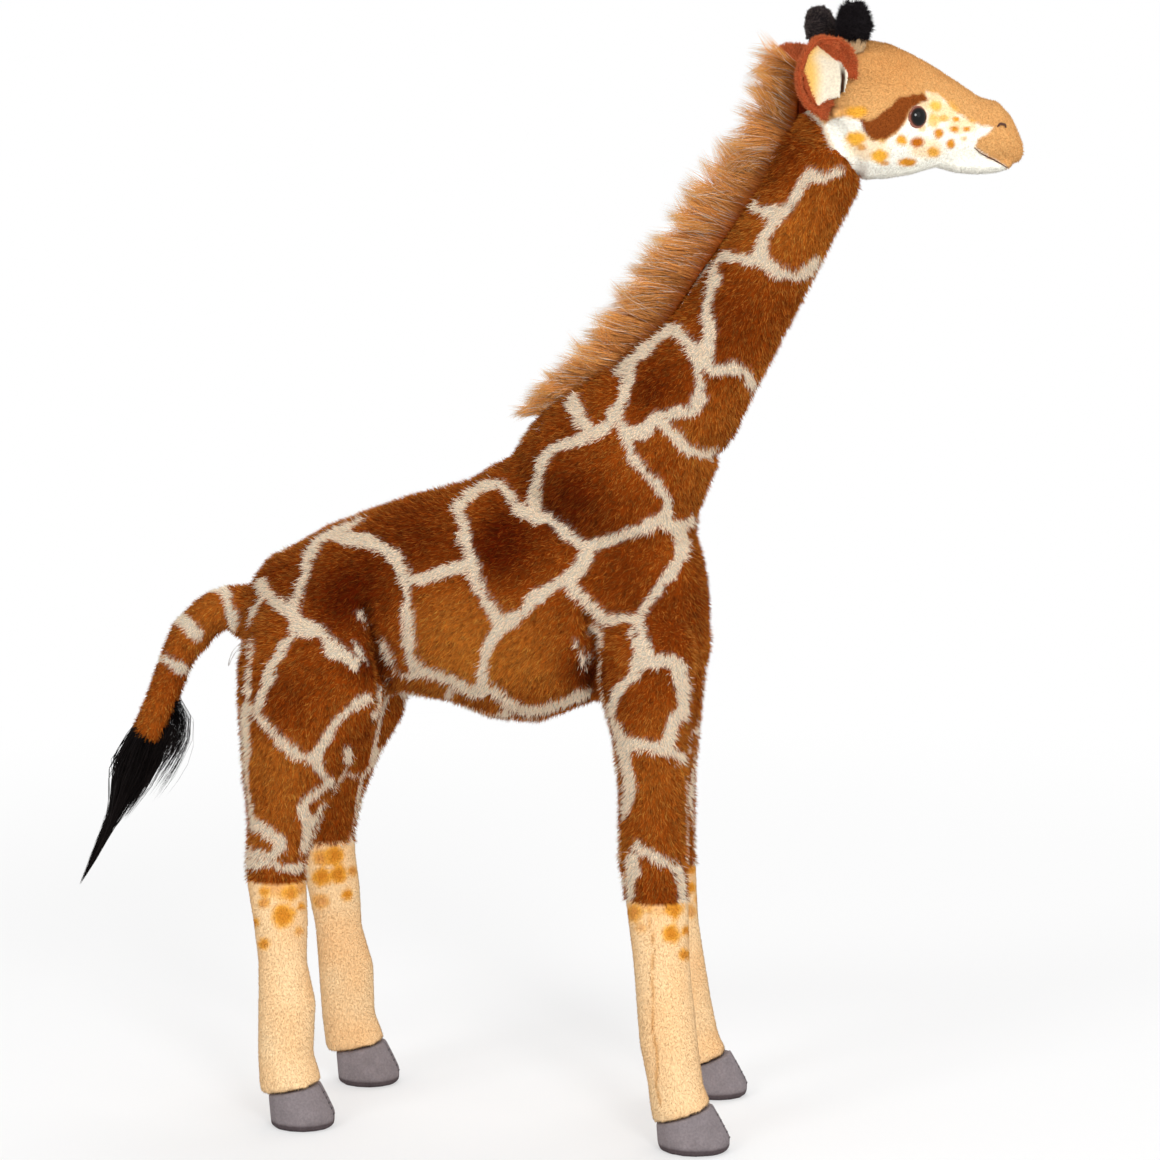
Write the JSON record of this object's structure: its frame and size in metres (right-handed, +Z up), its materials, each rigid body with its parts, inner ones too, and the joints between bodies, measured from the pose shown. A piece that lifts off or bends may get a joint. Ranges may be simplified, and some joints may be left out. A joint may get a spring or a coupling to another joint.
{
  "type": "plush giraffe",
  "caption": "Standing stuffed toy giraffe with a long neck, patterned coat, brush mane, cupped ears, short horns, tufted tail and velour hooves, on a bendable wire frame.",
  "frame": {"origin": "on the floor, midway between the tip of the nose and the tip of the tail, on the toy's middle plane", "axes": "+X towards the head, +Y to the toy's left, +Z up"},
  "size_m": [0.6098, 0.1644, 0.7026],
  "materials": {
    "brown_plush": "short pile plush, chestnut patches and cream lines",
    "cream_plush": "short cream pile",
    "tan_plush": "very short tan pile",
    "white_plush": "very short off-white pile",
    "mane_plush": "long ginger-brown pile",
    "black_hair": "black long pile",
    "ear_plush": "short rust-brown pile",
    "hoof_velour": "grey velour",
    "eye_plastic": "glossy, brown round a black pupil",
    "washer_plastic": "moulded",
    "steel_wire": "drawn",
    "board": "pressed board",
    "ribbon": "woven, bare"
  },
  "bodies": {
    "body": {"torso": "brown_plush", "shoulder_crossbar": "steel_wire", "hip_crossbar": "steel_wire", "spine_rod": "steel_wire", "mane_withers": "mane_plush", "seam_ribbon": "ribbon"},
    "lower_neck": {"neck_lower": "brown_plush", "neck_wire": "steel_wire", "mane_neck": "mane_plush"},
    "upper_neck": {"neck_upper": "brown_plush", "neck_upper_wire": "steel_wire", "mane_crest": "mane_plush"},
    "head": {"head": "tan_plush", "head_wire": "steel_wire", "lower_lip": "white_plush", "eye_left": "eye_plastic", "eye_right": "eye_plastic", "eye_washer_left": "washer_plastic", "eye_washer_right": "washer_plastic", "horn_left": "tan_plush", "horn_right": "tan_plush", "horn_tuft_left": "black_hair", "horn_tuft_right": "black_hair"},
    "left_ear": {"ear_left": "ear_plush", "ear_lining_left": "white_plush"},
    "right_ear": {"ear_right": "ear_plush", "ear_lining_right": "white_plush"},
    "upper_tail": {"tail_upper": "brown_plush", "tail_upper_wire": "steel_wire"},
    "lower_tail": {"tail_lower": "brown_plush", "tail_lower_wire": "steel_wire", "tail_tuft": "black_hair"},
    "foreleg_left": {"foreleg_left_thigh": "brown_plush", "foreleg_left_shank": "cream_plush", "foreleg_left_hoof": "hoof_velour", "foreleg_left_insole": "board", "foreleg_left_wire": "steel_wire"},
    "foreleg_right": {"foreleg_right_thigh": "brown_plush", "foreleg_right_shank": "cream_plush", "foreleg_right_hoof": "hoof_velour", "foreleg_right_insole": "board", "foreleg_right_wire": "steel_wire"},
    "hindleg_left": {"hindleg_left_thigh": "brown_plush", "hindleg_left_shank": "cream_plush", "hindleg_left_hoof": "hoof_velour", "hindleg_left_insole": "board", "hindleg_left_wire": "steel_wire"},
    "hindleg_right": {"hindleg_right_thigh": "brown_plush", "hindleg_right_shank": "cream_plush", "hindleg_right_hoof": "hoof_velour", "hindleg_right_insole": "board", "hindleg_right_wire": "steel_wire"}
  },
  "joints": [
    {"name": "neck_bend", "type": "hinge", "parent": "body", "child": "lower_neck", "pos_m": [0.08882, 0, 0.46107], "axis": [0, 1, 0], "range_deg": [-8, 8]},
    {"name": "neck_turn", "type": "hinge", "parent": "lower_neck", "child": "upper_neck", "pos_m": [0.14083, 0, 0.53793], "axis": [0.4997, 0, 0.8662], "range_deg": [-25, 25]},
    {"name": "head_nod", "type": "hinge", "parent": "upper_neck", "child": "head", "pos_m": [0.18363, 0, 0.61827], "axis": [-0.2756, 0.9613, 0], "range_deg": [-12, 12]},
    {"name": "ear_left_flap", "type": "hinge", "parent": "head", "child": "left_ear", "pos_m": [0.17313, 0.02936, 0.63619], "axis": [0.8755, 0.0458, 0.4811], "range_deg": [-25, 25]},
    {"name": "ear_right_flap", "type": "hinge", "parent": "head", "child": "right_ear", "pos_m": [0.19028, -0.03046, 0.63619], "axis": [-0.7667, -0.4251, -0.4811], "range_deg": [-25, 25]},
    {"name": "tail_lift", "type": "hinge", "parent": "body", "child": "upper_tail", "pos_m": [-0.18597, 0, 0.3208], "axis": [0, 1, 0], "range_deg": [-10, 30]},
    {"name": "tail_sway", "type": "hinge", "parent": "upper_tail", "child": "lower_tail", "pos_m": [-0.22609, 0, 0.30584], "axis": [0, 1, 0], "range_deg": [-20, 20]},
    {"name": "foreleg_left_swing", "type": "hinge", "parent": "body", "child": "foreleg_left", "pos_m": [0.07478, 0, 0.304], "axis": [0, 1, 0], "range_deg": [-8, 8]},
    {"name": "foreleg_right_swing", "type": "hinge", "parent": "body", "child": "foreleg_right", "pos_m": [0.07478, 0, 0.304], "axis": [0, 1, 0], "range_deg": [-8, 8]},
    {"name": "hindleg_left_swing", "type": "hinge", "parent": "body", "child": "hindleg_left", "pos_m": [-0.13622, 0, 0.292], "axis": [0, 1, 0], "range_deg": [-8, 8]},
    {"name": "hindleg_right_swing", "type": "hinge", "parent": "body", "child": "hindleg_right", "pos_m": [-0.13622, 0, 0.292], "axis": [0, 1, 0], "range_deg": [-8, 8]}
  ]
}
